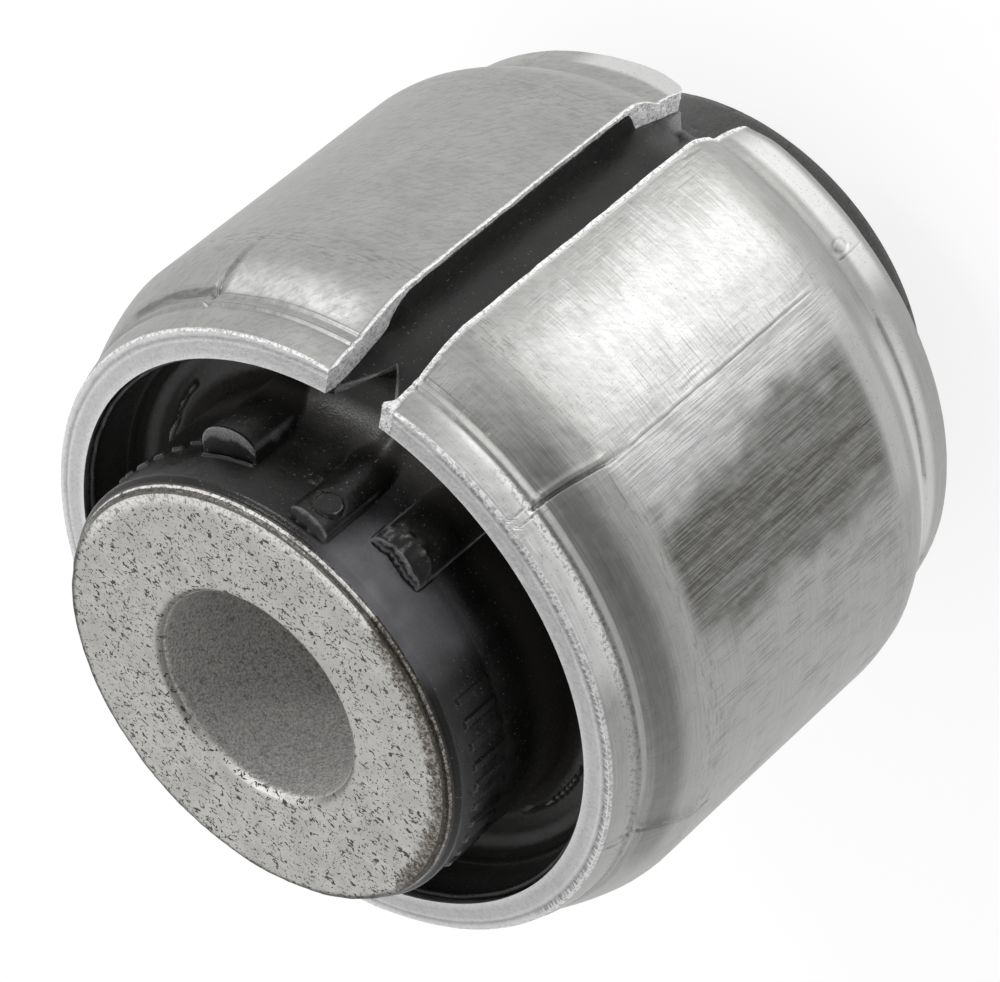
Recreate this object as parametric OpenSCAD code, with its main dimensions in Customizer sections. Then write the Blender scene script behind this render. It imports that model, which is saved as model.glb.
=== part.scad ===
// Rubber metal bush, in millimetres: a thick steel sleeve bonded by one rubber moulding
// into a slit aluminium shell whose two ends are drawn in to a smaller collar.
// Z is the axis. The bush stands on the plain end of its steel sleeve, and the slit faces -Y.
// "End distance" is measured along Z from the nearer end face of the steel sleeve,
// and "rim distance" from the nearer rim face of the shell.

/* [Steel sleeve] */
// Length of the sleeve, clamped between the bolt's seats
sleeve_len = 48; // [46:0.5:60]
// Outer diameter of the sleeve
sleeve_d = 29; // [27:0.1:30]
// Diameter of the bolt bore
bore_d = 14.5; // [10:0.1:18]
// Chamfer at each mouth of the bore
bore_chamfer = 0.4; // [0.2:0.1:1.2]
// Rounding of the outer edge at each end
sleeve_round = 0.5; // [0.2:0.1:1]

/* [Aluminium shell] */
// Length of the shell
shell_len = 34.4; // [30:0.2:36]
// Outer diameter of the barrel, pressed into its housing
barrel_d = 46.6; // [45.4:0.1:49]
// Wall thickness
wall = 2; // [1.4:0.1:2.3]
// Outer diameter at the rim face
rim_d = 42.4; // [41.8:0.1:43.2]
// Outer diameter of the collar where it meets the die steps
collar_d = 43.3; // [43.2:0.1:43.8]
// Length of the collar from the rim face to the first die step
collar_len = 2; // [1.2:0.1:2.6]
// Rise of each of the two die steps
step_rise = 0.17; // [0.08:0.01:0.24]
// Length along the axis over which a step rises
step_run = 0.1; // [0.05:0.05:0.2]
// Distance from the first die step to the second
step_gap = 0.7; // [0.4:0.1:0.9]
// Rim distance at which the shoulder reaches the barrel's full size
shoulder_end = 6.7; // [6.2:0.1:7.6]
// How strongly the shoulder bends as it reaches the barrel
shoulder_bend = 1.5; // [1.2:0.1:2.2]
// Chamfer on the rim's edges
rim_chamfer = 0.2; // [0.1:0.05:0.35]
// Width of the slit
slit_w = 4.3; // [3:0.1:5.5]

/* [Rubber] */
// Thickness of the rubber coat on the sleeve's bare length
coat_t = 0.35; // [0.2:0.05:0.6]
// End distance at which the coat starts
coat_start = 0.7; // [0.4:0.1:1.5]
// Rim distance at which the rubber skin in the shell starts
skin_start = 0.5; // [0.4:0.1:1]
// Thickness of the rubber skin at the rim
skin_t = 0.3; // [0.2:0.05:0.6]
// How far outside the rim face the web starts to rise from the coat
web_reach = 1.8; // [1:0.1:2.6]
// Rim distance of the web where it meets the shell
web_set = 3.6; // [3:0.1:4.2]
// Half of the angle that the web takes up behind the slit
web_half_angle = 18; // [14:0.5:26]
// Rim distance of the floor of the kidney shaped hollow
hollow_depth = 5.2; // [4.6:0.1:9]
// Ledge left between the hollow and the web's curve on each side
hollow_ledge = 0.2; // [0.1:0.05:0.4]
// Rounding along the floor of the hollow
hollow_round = 1.1; // [0.5:0.1:1.3]

/* [Stops and rib] */
// Radius of the half round stops beside the slit
stop_r = 2.3; // [1.8:0.1:2.6]
// Angle of each stop from the middle of the slit
stop_angle = 24.3; // [22:0.1:30]
// End distance at which a stop begins
stop_start = 3.5; // [2.5:0.1:4.5]
// Radius of the rib that runs from the coat to the web
rib_r = 1.45; // [1.1:0.05:1.8]
// Angle of the rib from the middle of the slit
rib_angle = -4.8; // [-8:0.1:8]
// End distance at which the rib begins
rib_start = 1.1; // [0.9:0.1:2.2]
// Diameter of the round ejector mark on the rib
ejector_d = 1.2; // [0.8:0.1:1.6]
// End distance of the ejector mark
ejector_at = 3.1; // [2.4:0.1:4]

/* [Hidden] */
$fn = 120;

over = 1;                 // how far a cutting shape passes the face it cuts
slit_side = 270;          // direction that the slit faces
axis_sink = 0.1;          // how far the stops' and rib's axes lie under the sleeve's surface
ejector_rise = 0.12;      // how far the ejector mark stands above the rib
shoulder_parts = 10;      // straight pieces in the shoulder's curve
web_parts = 12;           // straight pieces in the web's curve

sleeve_r = sleeve_d / 2;
bore_r = bore_d / 2;
coat_r = sleeve_r + coat_t;
rim_r = rim_d / 2;
barrel_r = barrel_d / 2;
rim_at = (sleeve_len - shell_len) / 2;

// Where the die steps end and the shoulder begins
step_end = collar_len + step_gap + step_run;
step_top_r = collar_d / 2 + 2 * step_rise;

// Points [radius, rim distance] of the shoulder, steep at the steps and level at the barrel
shoulder = [
    for (i = [1:shoulder_parts])
        let (t = i / shoulder_parts)
        [
            barrel_r - (barrel_r - step_top_r) * pow(1 - t, shoulder_bend),
            step_end + (shoulder_end - step_end) * t
        ]
];

// Outside of one end of the shell, from the rim face to the barrel
shell_outside = concat(
    [
        [rim_r - rim_chamfer, 0],
        [rim_r, rim_chamfer],
        [collar_d / 2, collar_len],
        [collar_d / 2 + step_rise, collar_len + step_run],
        [collar_d / 2 + step_rise, collar_len + step_gap],
        [step_top_r, step_end]
    ],
    shoulder
);

shell_reach = max([for (p = shell_outside) p[0]]);

// The inside wall follows the smooth outside, one wall thickness further in
wall_line = concat([[rim_r, 0], [step_top_r, step_end]], shoulder);
wall_inside = [for (p = wall_line) [p[0] - wall, p[1]]];
wall_table = [for (p = wall_inside) [p[1], p[0]]];
function inside_r(rim_distance) = lookup(rim_distance, wall_table);

shell_inside = concat(
    [[rim_r - wall + rim_chamfer, 0], [inside_r(rim_chamfer), rim_chamfer]],
    [for (p = wall_inside) if (p[1] > rim_chamfer) p]
);

// The straight core that forms the hollow has to leave through the narrowest place of the shell
core_r = min([for (p = wall_inside) p[0]]) - skin_t;
hollow_in_r = coat_r + hollow_ledge;
hollow_out_r = core_r - hollow_ledge;
hollow_mid_r = (hollow_in_r + hollow_out_r) / 2;
hollow_half_w = (hollow_out_r - hollow_in_r) / 2;
// The hollow ends in an arc a little wider than itself, so that the arc meets its sides at an angle
hollow_end_r = 1.15 * hollow_half_w;
hollow_start = web_half_angle + asin(hollow_end_r / hollow_mid_r);

// Rubber of one end, from the sleeve's surface out to the shell's inside wall
web_curve = [
    for (i = [0:web_parts])
        let (a = 90 * i / web_parts)
        [core_r - (core_r - coat_r) * cos(a), (web_set + web_reach) * sin(a) - web_reach]
];
rubber_end = concat(
    [
        [sleeve_r - over, coat_start - rim_at],
        [sleeve_r, coat_start - rim_at],
        [coat_r, coat_start + coat_t - rim_at]
    ],
    web_curve,
    [[core_r, skin_start], [inside_r(skin_start), skin_start]],
    [for (p = wall_inside) if (p[1] > skin_start) p]
);

// Turn rim distances into heights, at the foot end and at the head end
function foot_end(points) = [for (p = points) [p[0], rim_at + p[1]]];
function head_end(points) = [for (i = [len(points) - 1:-1:0]) [points[i][0], sleeve_len - rim_at - points[i][1]]];
function reversed(points) = [for (i = [len(points) - 1:-1:0]) points[i]];

// Repeats a shape of the foot end at the head end
module at_both_ends() {
    children();
    at_head() children();
}

// Moves a shape of the foot end to the head end
module at_head() {
    translate([0, 0, sleeve_len]) mirror([0, 0, 1]) children();
}

module inner_sleeve() {
    corner = sleeve_r - sleeve_round;
    round_end = [for (a = [0:15:90]) [corner + sleeve_round * sin(a), sleeve_round * (1 - cos(a))]];
    side = concat([[bore_r, bore_chamfer], [bore_r + bore_chamfer, 0]], round_end);
    top = [for (p = reversed(side)) [p[0], sleeve_len - p[1]]];
    color("silver")
        rotate_extrude() polygon(concat(side, top));
}

module outer_sleeve() {
    outside = concat(foot_end(shell_outside), head_end(shell_outside));
    inside = concat(foot_end(shell_inside), head_end(shell_inside));
    color("lightgray")
        difference() {
            rotate_extrude() polygon(concat(outside, reversed(inside)));
            rotate([0, 0, slit_side])
                translate([0, -slit_w / 2, rim_at - over])
                    cube([shell_reach + over, slit_w, shell_len + 2 * over]);
        }
}

// What the web leaves standing of the hollow, in plan, with a hollowed arc on each side
module web_plan() {
    rotate([0, 0, slit_side])
        difference() {
            polygon([
                [0, 0],
                [2 * rim_r * cos(hollow_start), -2 * rim_r * sin(hollow_start)],
                [2 * rim_r * cos(hollow_start), 2 * rim_r * sin(hollow_start)]
            ]);
            for (side = [-1, 1])
                rotate([0, 0, side * hollow_start])
                    translate([hollow_mid_r, 0]) circle(r = hollow_end_r);
        }
}

// Kidney shaped hollow of the foot end, round the sleeve from one side of the web to the other
module hollow() {
    mouth = rim_at - web_reach;
    floor_z = rim_at + hollow_depth;
    one_side = concat(
        [
            for (a = [90:-15:0])
                [hollow_half_w - hollow_round + hollow_round * cos(a), floor_z - hollow_round + hollow_round * sin(a)]
        ],
        [[hollow_half_w, mouth]]
    );
    other_side = [for (p = reversed(one_side)) [-p[0], p[1]]];
    difference() {
        rotate_extrude()
            translate([hollow_mid_r, 0]) polygon(concat(one_side, other_side));
        translate([0, 0, mouth - over])
            linear_extrude(height = floor_z - mouth + 2 * over) web_plan();
    }
}

// Half round bar on the coat of the foot end, at an angle from the slit
module coat_bar(angle, radius, from, to) {
    rotate([0, 0, slit_side + angle])
        translate([sleeve_r - axis_sink, 0, from])
            cylinder(h = to - from, r = radius);
}

module ejector_mark() {
    rotate([0, 0, slit_side + rib_angle])
        translate([sleeve_r, 0, ejector_at])
            rotate([0, 90, 0])
                cylinder(h = rib_r - axis_sink + ejector_rise, d = ejector_d);
}

module rubber_body() {
    bar_end = rim_at + hollow_depth + over;
    color("dimgray")
        difference() {
            union() {
                difference() {
                    rotate_extrude()
                        polygon(concat(foot_end(rubber_end), head_end(rubber_end)));
                    at_both_ends() hollow();
                    // The slit's mouth is clear of rubber down to the web
                    at_both_ends()
                        rotate([0, 0, slit_side])
                            translate([core_r - hollow_ledge, -slit_w / 2, rim_at])
                                cube([shell_reach, slit_w, web_set]);
                }
                at_both_ends()
                    for (side = [-1, 1])
                        coat_bar(side * stop_angle, stop_r, stop_start, bar_end);
                at_head() {
                    coat_bar(rib_angle, rib_r, rib_start, bar_end);
                    ejector_mark();
                }
            }
            translate([0, 0, -over])
                cylinder(h = sleeve_len + 2 * over, r = sleeve_r);
        }
}

inner_sleeve();
rubber_body();
outer_sleeve();
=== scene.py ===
"""Looks of the rubber metal bush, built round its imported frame.

Sizes are in millimetres until place() turns them into metres. A point of the bush is given by its
angle in degrees from the middle of the slit, its radius, and its depth from the head end face. The
camera sees the head end, and positive angles lie to the left of the slit.
"""

import bpy
import numpy as np
from mathutils import Matrix


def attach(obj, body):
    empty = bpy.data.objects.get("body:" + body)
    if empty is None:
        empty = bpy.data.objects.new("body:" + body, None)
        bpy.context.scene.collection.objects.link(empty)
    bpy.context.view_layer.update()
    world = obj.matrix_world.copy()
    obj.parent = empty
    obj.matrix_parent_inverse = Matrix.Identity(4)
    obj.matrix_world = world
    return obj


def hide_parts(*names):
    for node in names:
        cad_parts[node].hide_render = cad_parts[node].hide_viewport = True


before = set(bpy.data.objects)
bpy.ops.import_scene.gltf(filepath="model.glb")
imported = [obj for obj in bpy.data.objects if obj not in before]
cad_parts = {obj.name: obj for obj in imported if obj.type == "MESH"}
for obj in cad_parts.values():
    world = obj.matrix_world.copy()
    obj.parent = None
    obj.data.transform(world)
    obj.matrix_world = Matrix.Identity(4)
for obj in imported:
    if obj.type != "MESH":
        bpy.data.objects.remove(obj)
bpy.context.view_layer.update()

MM = 0.001
LENGTH = 48.0

# Steel sleeve
BORE_R = 7.25
SLEEVE_R = 14.5

# Shell, by rim distance from the nearer rim
RIM_AT = 6.8
RIM_R = 21.2
BARREL_R = 23.3
WALL = 2.0
COLLAR_LEN = 2.0
COLLAR_R = 21.65
STEP_RISE = 0.17
STEP_GAP = 0.7
STEP_END = 2.8
STEP_TOP_R = 21.99
SHOULDER_END = 6.7
SHOULDER_BEND = 1.5
SLIT_HALF = 2.15
# The inside wall has one row of points for so many of the outside
INNER_STEP = 6
# Length over which the rim's edges are rounded
RIM_ROUND = 0.2
# Angle of the slit's edges at the barrel, and the arc of one degree there
SLIT_ANGLE = 5.3
DEGREE_ARC = 0.4
# Angles of the creases that the drawing jaws left. The first has a fine line along the barrel
JAWS = (-33.9, 33.9, -98, 98, -163, 163)
# Depths between which the barrel is polished and scratched, and painted with highlight and dark
# reflection
POLISH_AND_HIGHLIGHT = (15.0, 33.0)

# Rubber
COAT_R = 14.85
COAT_START = 0.7
FOOT_COAT_START = 0.1
CORE_R = 18.9
WEB_REACH = 1.8
WEB_SET = 3.6
HOLLOW_IN = 15.05
HOLLOW_OUT = 18.7
HOLLOW_DEPTH = 12.0
HOLLOW_ROUND = 1.1
SKIN_START = 0.5
# Half width of the rubber in the slit, just short of the sawn faces
SLIT_RUBBER = 2.145
# Seeds of the two ends
HEAD_SEED = 40
FOOT_SEED = 60


# Helpers for numbers


def place(angle, radius, depth):
    """Points in metres from degrees from the slit, radius and depth from the head face."""
    turn = np.radians(angle)
    x, y = radius * np.sin(turn), -radius * np.cos(turn)
    return np.stack(np.broadcast_arrays(x, y, LENGTH - depth), -1) * MM


def ease(value, low, high):
    """0 below low, 1 above high, and smooth between them."""
    t = np.clip((np.asarray(value, float) - low) / (high - low), 0, 1)
    return t * t * (3 - 2 * t)


def hill(value, middle, width):
    """A smooth hill of height 1."""
    return np.exp(-(((np.asarray(value, float) - middle) / width) ** 2))


def inside(value, low, high, soft):
    """1 between low and high, falling to 0 over soft on each side."""
    return ease(value, low - soft, low) * (1 - ease(value, high, high + soft))


def rough(u, v, seed):
    """Smooth random values between -1 and 1 on a grid of unit cells."""
    table = np.random.default_rng(seed).uniform(-1, 1, (128, 128))
    u, v = np.broadcast_arrays(np.asarray(u, float), np.asarray(v, float))
    iu, iv = np.floor(u).astype(int), np.floor(v).astype(int)
    fu, fv = u - iu, v - iv
    fu, fv = fu * fu * (3 - 2 * fu), fv * fv * (3 - 2 * fv)
    iu, iv, ju, jv = iu % 128, iv % 128, (iu + 1) % 128, (iv + 1) % 128
    near = table[iu, iv] * (1 - fu) + table[ju, iv] * fu
    far = table[iu, jv] * (1 - fu) + table[ju, jv] * fu
    return near * (1 - fv) + far * fv


def stretches(*parts):
    """Evenly spaced values over each (start, end, count), one stretch after another."""
    return np.concatenate([np.linspace(*part) for part in parts])


def steps(*parts):
    """The same values in order and without doubles."""
    return np.unique(np.round(stretches(*parts), 5))


def wrap(angle):
    """Degrees from the slit between -180 and 180."""
    return (np.asarray(angle, float) + 180) % 360 - 180


# Helpers for meshes


def show(name, data):
    """A new object in the scene."""
    thing = bpy.data.objects.new(name, data)
    bpy.context.scene.collection.objects.link(thing)
    return thing


def make_piece(name, points, faces, material, sharp):
    """A closed mesh piece on the root that faces outwards. Edges over sharp degrees stay hard."""
    mesh = bpy.data.meshes.new(name)
    mesh.from_pydata(points.tolist(), [], faces)
    mesh.polygons.foreach_set("use_smooth", [True] * len(mesh.polygons))
    mesh.update()
    mesh.calc_loop_triangles()
    corner = np.empty(len(mesh.loop_triangles) * 3, np.int32)
    mesh.loop_triangles.foreach_get("vertices", corner)
    a, b, c = points[corner.reshape(-1, 3)].transpose(1, 0, 2)
    # A closed mesh whose volume comes out negative faces inwards
    if np.einsum("ij,ij->i", a, np.cross(b, c)).sum() < 0:
        mesh.flip_normals()
    mesh.set_sharp_from_angle(angle=np.radians(sharp))
    mesh.materials.append(material)
    piece = show(name, mesh)
    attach(piece, "root")
    return piece


def grid_faces(rows, columns, wrap_rows, wrap_columns):
    """Quads of a grid of points that are stored row by row."""
    last_row = rows if wrap_rows else rows - 1
    last_column = columns if wrap_columns else columns - 1
    i, j = np.meshgrid(np.arange(last_row), np.arange(last_column), indexing="ij")
    k, m = (i + 1) % rows, (j + 1) % columns
    quads = np.stack([i * columns + j, k * columns + j, k * columns + m, i * columns + m], -1)
    return quads.reshape(-1, 4)


# Shape of the shell


def shoulder_r(rim_distance):
    """Outside of a shoulder, up to the barrel."""
    t = np.clip((rim_distance - STEP_END) / (SHOULDER_END - STEP_END), 0, 1)
    return BARREL_R - (BARREL_R - STEP_TOP_R) * (1 - t) ** SHOULDER_BEND


def smooth_out_r(rim_distance):
    """Outside of the shell without its die steps."""
    cone = RIM_R + (STEP_TOP_R - RIM_R) * rim_distance / STEP_END
    return np.where(rim_distance < STEP_END, cone, shoulder_r(rim_distance))


def from_rim(depth):
    """Distance from the nearer rim."""
    return np.minimum(depth - RIM_AT, LENGTH - RIM_AT - depth)


def wall_in_r(depth):
    """Inside wall of the shell."""
    return smooth_out_r(from_rim(depth)) - WALL


def head_out_r(t):
    """Outside of the head end's collar and shoulder, by rim distance."""
    collar = RIM_R + (COLLAR_R - RIM_R) * ease(t, -0.3, 1.7)
    first = STEP_RISE * ease(t, COLLAR_LEN - 0.03, COLLAR_LEN + 0.09)
    second = STEP_RISE * ease(t, COLLAR_LEN + STEP_GAP - 0.03, STEP_END)
    return np.where(t < STEP_END, collar + first + second, shoulder_r(t))


# Outside of the foot end, as rim distances and radii
FOOT_T = (0.0, 0.7, 2.2, 2.9, 3.2, 3.45, 3.75, 4.1, 4.6, 5.4, 6.0, 6.9)
FOOT_R = (21.2, 21.32, 21.56, 21.58, 21.5, 21.62, 21.95, 22.2, 22.52, 22.95, 23.18, 23.3)


def foot_out_r(t):
    """Outside of the foot end's lip, groove and shoulder, by rim distance."""
    shifts = (-0.2, -0.1, 0, 0.1, 0.2)
    return np.mean([np.interp(t + shift, FOOT_T, FOOT_R) for shift in shifts], axis=0)


def shell_out_r(angle, depth):
    """Outside of the shell with its marks."""
    a = wrap(angle)
    side = np.abs(a)
    head, foot = depth - RIM_AT, LENGTH - RIM_AT - depth
    r = np.where(head < foot, head_out_r(head), foot_out_r(foot))
    for seed, jaw in enumerate(JAWS, 1):
        near = a - jaw
        crease = 2.2 * ease(-depth, -16, -8.5)
        # Creases and nicks: height, place, width, the depths between which they lie, and softness
        marks = [
            (-0.21, crease, 0.3, 8.9, 14.5, 0.6), (0.13, crease + 0.9, 0.5, 9.4, 13, 0.9),
            (-0.11, 3.1, 0.16, 7.1, 8.1, 0.25), (-0.11, 1.4, 0.16, 7.3, 8.4, 0.25),
            (-0.11, 0.5, 0.16, 38.3, 40.3, 0.2),
        ]
        if seed == 1:
            marks += [(-0.07, 0, 0.14, 16.5, 32.9, 0.6), (0.03, 0.5, 0.3, 16.5, 32.9, 0.6)]
        for height, at, width, low, high, soft in marks:
            r = r + height * hill(near, at, width) * inside(depth, low, high, soft)
        # A small round mark at the foot end's shoulder
        ring = np.hypot((near - 2.2) * 0.37, (depth - 38.9) * 0.8)
        r = r - 0.1 * hill(ring, 0.42, 0.09)
        # The jaws leave the shoulder a little flatter beside each crease
        r = r - 0.07 * hill(near, 5.5 * np.sign(near), 4) * inside(depth, 9.8, 12.6, 1.2)
        r = r + 0.012 * rough(near * 2, depth * 1.3, seed) * hill(near, 0, 6)
    # Beside the left crease the second die step is pressed in deeper
    r = r - 0.24 * hill(depth, 9.85, 0.25) * inside(a, 36, 58, 3)
    # The groove under the foot end's lip is deeper on one side
    r = r - 0.16 * hill(foot, 3.05, 0.16) * inside(a, -74, -46, 3)
    # Corner of a tool pressed in beside the slit
    r = r - 0.05 * hill(a + 6.8 + 0.2 * (depth - 34.7), 0, 0.16) * inside(depth, 33.4, 35.1, 0.3)
    r = r - 0.05 * hill(depth - 33.3 - 0.35 * (a + 7.2), 0, 0.09) * inside(a, -10.4, -7.2, 0.4)
    # Sawn edges of the slit carry a burr with fine teeth, and their ends are bent in a little
    edge = (side - 5.4) * DEGREE_ARC
    teeth = 0.5 + 0.5 * rough(depth * 5.5, np.sign(a) * 3, 7)
    r = r + (0.05 + 0.07 * teeth) * hill(edge, 0.0, 0.16) * inside(depth, 8, 40, 1)
    r = r - 0.5 * hill(edge, 0, 1.6) * ease(depth, 37.5, 41.2)
    r = r - 0.12 * hill(edge, 0, 1.2) * ease(-depth, -8.4, -6.8)
    # Slow unevenness of the drawn metal
    r = r + 0.02 * rough(a / 9 + 40, depth / 6, 8) + 0.012 * rough(a / 3 + 80, depth / 2.5, 9)
    return r


def slit_shift(side, depth):
    """How far the slit's edge stands back from its true place on the right (-1) and left (1) side."""
    wave = 0.05 * rough(depth / 3.1, side * 5 + 20, 10) + 0.03 * rough(depth * 1.3, side * 5 + 40, 11)
    if side < 0:
        tongue = -0.6 * hill(depth, 6.9, 0.45)
        return wave + tongue + 0.2 * ease(depth, 40.5, 41.2) ** 2
    return wave + 0.28 * ease(-depth, -7.4, -6.8) + 0.55 * ease(depth, 40.3, 41.2) ** 2


def shell_columns():
    """Places round the shell, from 0 at the slit's left edge to 1 at its right edge."""
    e = SLIT_ANGLE
    left = steps(
        (e, e + 0.5, 6), (e + 0.5, 9, 10), (9, 31.5, 44), (31.5, 36, 36), (36, 62, 36), (62, 97, 22)
    )
    back = steps((97, 99.5, 12), (99.5, 162, 30), (162, 164.5, 12), (164.5, 180, 8))
    right = 360 - steps(
        (e, e + 0.5, 6), (e + 0.5, 9, 14), (9, 11, 12), (11, 30, 46), (30, 36, 62), (36, 96, 108),
        (96, 100, 20),
    )
    behind = 360 - steps((100, 162, 30), (162, 164.5, 12), (164.5, 180, 8))
    every = np.unique(np.round(np.concatenate([left, back, behind, right]), 4))
    return (every - e) / (360 - 2 * e)


def shell_angle(column, radius, depth):
    """Angle of a column at a radius, so that the slit keeps parallel sides."""
    first = np.degrees(np.arcsin((SLIT_HALF + slit_shift(1, depth)) / radius))
    last = 360 - np.degrees(np.arcsin((SLIT_HALF + slit_shift(-1, depth)) / radius))
    return first + (last - first) * column


def rim_face(t, angle, end):
    """How far the sawn rim face lies under its plane, from its outer edge (t = 0) to its inner one."""
    dip = 0.09 * hill(t, 0.17, 0.07) + 0.05 * hill(t, 0.52, 0.12)
    grain = 0.02 * rough(angle * 1.7, t * 9, 12 + end) + 0.03 * rough(angle / 2.3, t * 4, 14 + end)
    burr = (0.05 + 0.05 * rough(angle * 2.1, 3, 16 + end)) * hill(t, 0.05, 0.05)
    return (dip + grain - burr) * ease(t, -0.02, 0.05) * (1 - ease(t, 0.93, 1.0))


def build_shell(material):
    columns = shell_columns()
    c = len(columns)
    outer_z = steps(
        (RIM_AT, RIM_AT + RIM_ROUND, 4), (RIM_AT + RIM_ROUND, 8.7, 10), (8.7, 9.0, 7), (9.0, 9.45, 4),
        (9.45, 9.75, 7), (9.75, 13.6, 24), (13.6, 33.2, 28), (33.2, 35.2, 8), (35.2, 38.2, 18),
        (38.2, 40.0, 20), (40.0, 41.0, 6), (41.0, 41.2, 4),
    )
    while len(outer_z) % INNER_STEP != 1:
        middle = int(np.argmax(np.diff(outer_z)))
        outer_z = np.insert(outer_z, middle + 1, outer_z[middle : middle + 2].mean())
    n = len(outer_z)
    inner_z = outer_z[::INNER_STEP]
    layers = 9
    across = np.arange(1, layers + 1) / (layers + 1)

    def outer_points(depth):
        angle = shell_angle(columns, BARREL_R, depth)
        radius = shell_out_r(angle, depth)
        radius = radius - 0.12 * (1 - ease(from_rim(depth), 0, RIM_ROUND))
        return shell_angle(columns, radius, depth), radius

    def inner_points(depth):
        near_slit = np.minimum(columns, 1 - columns) * 360
        bent = 0.35 * hill(near_slit * DEGREE_ARC, 0, 1.6) * ease(depth, 38, 41.2)
        radius = wall_in_r(depth) - bent + 0.06 * (1 - ease(from_rim(depth), 0, RIM_ROUND))
        return shell_angle(columns, radius, depth), radius

    def rim_rows(depth, sign, end):
        a0, r0 = outer_points(depth)
        a1, r1 = inner_points(depth)
        rows = []
        for t in across:
            angle, radius = a0 + (a1 - a0) * t, r0 + (r1 - r0) * t
            rows.append(place(angle, radius, depth + sign * rim_face(t, angle, end)))
        return rows

    rows = [place(*outer_points(z), z) for z in outer_z]
    rows += rim_rows(LENGTH - RIM_AT, -1, 1)
    rows += [place(*inner_points(z), z) for z in inner_z[::-1]]
    rows += rim_rows(RIM_AT, 1, 0)[::-1]
    grid = np.array(rows)
    m = len(grid)
    points = [grid.reshape(-1, 3)]
    count = m * c
    quads = grid_faces(m, c, True, False)
    keep = np.ones(len(quads), bool)
    faces = []

    # Sawn faces on both sides of the slit, with layers between the outside and the inside
    first_inner = n + layers
    last_inner = first_inner + len(inner_z) - 1
    for side, j in ((1, 0), (-1, c - 1)):
        outer_line = grid[:n, j]
        ends = grid[first_inner : last_inner + 1, j][::-1]
        inner_line = np.stack([np.interp(outer_z, inner_z, ends[:, k]) for k in range(3)], -1)
        index = np.empty((n, layers + 2), int)
        index[:, 0] = np.arange(n) * c + j
        fresh = []
        for i in range(n):
            for k in range(1, layers + 2):
                if i in (0, n - 1) and k <= layers:
                    row = (m - k) if i == 0 else (n - 1 + k)
                    index[i, k] = row * c + j
                elif k == layers + 1 and i % INNER_STEP == 0:
                    index[i, k] = (last_inner - i // INNER_STEP) * c + j
                else:
                    t = k / (layers + 1)
                    spot = outer_line[i] * (1 - t) + inner_line[i] * t
                    if k <= layers:
                        coarse = rough(outer_z[i] * 2.6, t * 6 + side * 9, 18)
                        fine = rough(outer_z[i] * 7, t * 14 + side * 9, 19)
                        spot = spot + np.array([side * (0.035 * coarse + 0.02 * fine) * MM, 0, 0])
                    index[i, k] = count + len(fresh)
                    fresh.append(spot)
        points.append(np.array(fresh))
        count += len(fresh)
        for i in range(n - 1):
            for k in range(layers + 1):
                quad = [index[i, k], index[i, k + 1], index[i + 1, k + 1], index[i + 1, k]]
                faces.append(quad if side > 0 else quad[::-1])
        # The inside has fewer rows, so its outermost faces take up the extra points
        strip = j if side > 0 else j - 1
        for g in range(len(inner_z) - 1):
            row = last_inner - 1 - g
            keep[row * (c - 1) + strip] = False
            other = j + 1 if side > 0 else j - 1
            edge = [int(index[INNER_STEP * g + k, layers + 1]) for k in range(INNER_STEP + 1)]
            face = edge + [row * c + other, (row + 1) * c + other]
            faces.append(face[::-1] if side > 0 else face)
    faces = quads[keep].tolist() + [[int(v) for v in f] for f in faces]
    piece = make_piece("shell", np.concatenate(points), faces, material, 38)
    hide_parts("outer_sleeve")


# Shape of the rubber


def bar_r(angle, at, half_width, top, square=2.0):
    """Outside of a bar that stands on the coat, by its half width and the radius of its top."""
    side = np.abs(COAT_R * np.radians(wrap(angle - at))) / half_width
    arch = np.maximum(1 - side**square, 0) ** (1 / square)
    return np.where(side < 1, COAT_R + (top - COAT_R) * arch, 0)


BAR, DOT = 0, 1
# How far the marks stand out
MARK_RISE = 0.17
# Plain marks on the coat: kind, angle, depth, half width and half length
MARKS = (
    # A row of bars on the right
    *((BAR, at, 3.5, 0.3, 1.35) for at in range(-58, -117, -6)),
    # Four short bars and two dots on the left
    *((BAR, 39.5 + 5 * i, 4.7 - 0.5 * i, 0.5, 0.15) for i in range(4)),
    *((DOT, at, 3.0, 0.3, 0) for at in (60.0, 63.5)),
)
# The stops and the rib: angle, half width, radius of the top, and how square they are
LEFT_STOP = (24.8, 2.05, 16.65, 2.4)
RIGHT_STOP = (-24.3, 2.0, 16.6, 2.4)
FOOT_STOPS = ((24.3, 2.05, 16.65, 2.4), (-24.3, 2.05, 16.65, 2.4))
RIB = (-4.8, 1.5, 15.85, 2.2)
# Chains of ridges on the hollow's floor: radius, first angle, last angle and pitch in degrees
CHAINS = ((17.95, 56, 94, 2.4), (17.95, -140, -112, 2.4), (16.7, 66, 88, 1.9), (16.3, -126, -100, 2.6))


def coat_relief(angle, depth):
    """Height of the small raised marks on the head end's coat."""
    a = wrap(angle)
    h = np.zeros(np.broadcast(a, depth).shape)
    for kind, at, z, half_width, half_length in MARKS:
        x = (a - at) * np.radians(COAT_R)
        y = depth - z
        if kind == BAR:
            mark = inside(x, -half_width + 0.04, half_width - 0.04, 0.09)
            mark = mark * inside(y, -half_length, half_length, 0.1)
        else:
            mark = 1 - ease(np.hypot(x, y), half_width - 0.06, half_width + 0.06)
        h = np.maximum(h, MARK_RISE * mark)
    # Soft unevenness, finer beside the torn stop
    h = h + 0.012 * rough(a / 3, depth * 0.9, 20)
    h = h + 0.02 * rough(a * 2.2, depth * 3, 21) * hill(a, -26, 9) * ease(depth, 2.6, 3.6)
    return h


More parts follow.
